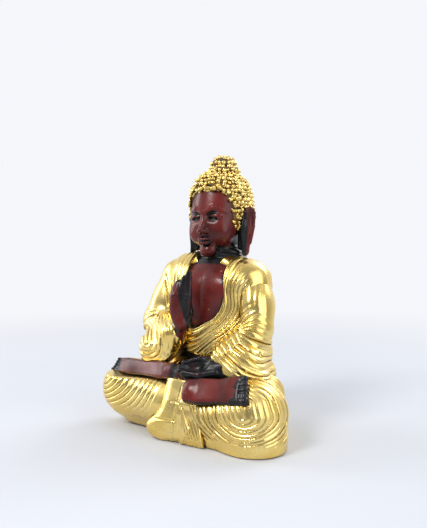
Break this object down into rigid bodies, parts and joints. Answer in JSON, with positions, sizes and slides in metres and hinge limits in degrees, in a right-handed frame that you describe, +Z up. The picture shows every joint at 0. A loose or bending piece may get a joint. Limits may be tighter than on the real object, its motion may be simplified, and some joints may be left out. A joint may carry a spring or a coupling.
{
  "type": "seated buddha statue",
  "caption": "Seated figure in the double lotus pose with a draped gold robe, dark red lacquered skin, curled hair with a topknot, one hand raised and one open in the lap.",
  "frame": {"origin": "centre of the bounding box at the resting face, under the middle of the seat", "axes": "+Z up, the figure looks along -Y, its left side is +X"},
  "size_m": [0.118, 0.066, 0.15],
  "materials": {
    "gilding": "bright gold coating over cast resin, polished, darker in the folds",
    "lacquer": "dark red glossy lacquer with a black wash in the recesses",
    "bare_resin": "unpainted cast resin plate, hidden",
    "filling": "plaster filling, hidden",
    "pin_steel": "plain steel pins, hidden",
    "felt": "black self-adhesive felt"
  },
  "bodies": {
    "root": {"felt_pad": "felt", "closing_plate": "bare_resin", "weight_core": "filling", "lap_robe": "gilding", "front_drape": "gilding", "torso_robe": "gilding", "left_lapel": "gilding", "right_lapel": "gilding", "left_sleeve": "gilding", "right_sleeve": "gilding", "hair_cap": "gilding", "topknot": "gilding", "chest": "lacquer", "left_hand": "lacquer", "right_hand": "lacquer", "left_foot": "lacquer", "right_foot": "lacquer", "head": "lacquer", "left_ear": "lacquer", "right_ear": "lacquer", "waist_dowels": "pin_steel", "neck_dowel": "pin_steel", "chest_pins": "pin_steel", "sleeve_pins": "pin_steel", "hand_pins": "pin_steel", "foot_pins": "pin_steel", "drape_pins": "pin_steel", "ear_pins": "pin_steel", "topknot_pin": "pin_steel"}
  },
  "joints": []
}
